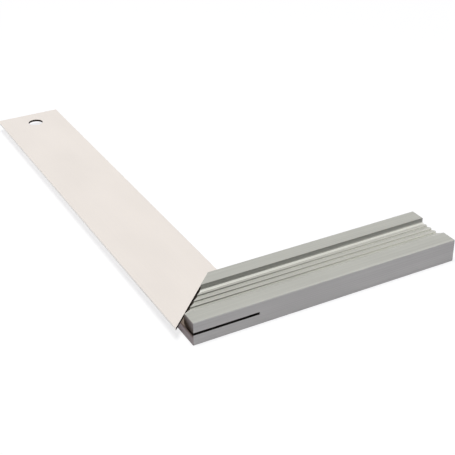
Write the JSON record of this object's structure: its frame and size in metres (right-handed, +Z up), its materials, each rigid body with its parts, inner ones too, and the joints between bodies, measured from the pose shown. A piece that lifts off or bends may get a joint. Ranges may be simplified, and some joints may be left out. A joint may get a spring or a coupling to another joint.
{
  "type": "carpenter square",
  "caption": "Rigid L-shaped try and mitre square: flat steel blade let into a grooved aluminium stock with a mitred heel, for marking square and mitre lines.",
  "frame": {"origin": "centre of the square's bounding box in plan, on the plane of the stock's base", "axes": "+X along the stock from its heel end, +Y along the blade away from the stock, +Z up from the stock's base to its grip side"},
  "size_m": [0.17, 0.3, 0.0138],
  "materials": {
    "stock_aluminium": "satin anodised extrusion with fine lines along its length",
    "blade_steel": "fine satin stainless, bare cut edges",
    "pin_steel": "ground flush"
  },
  "bodies": {
    "root": {"stock": "stock_aluminium", "blade": "blade_steel", "blade_pins": "pin_steel"}
  },
  "joints": []
}
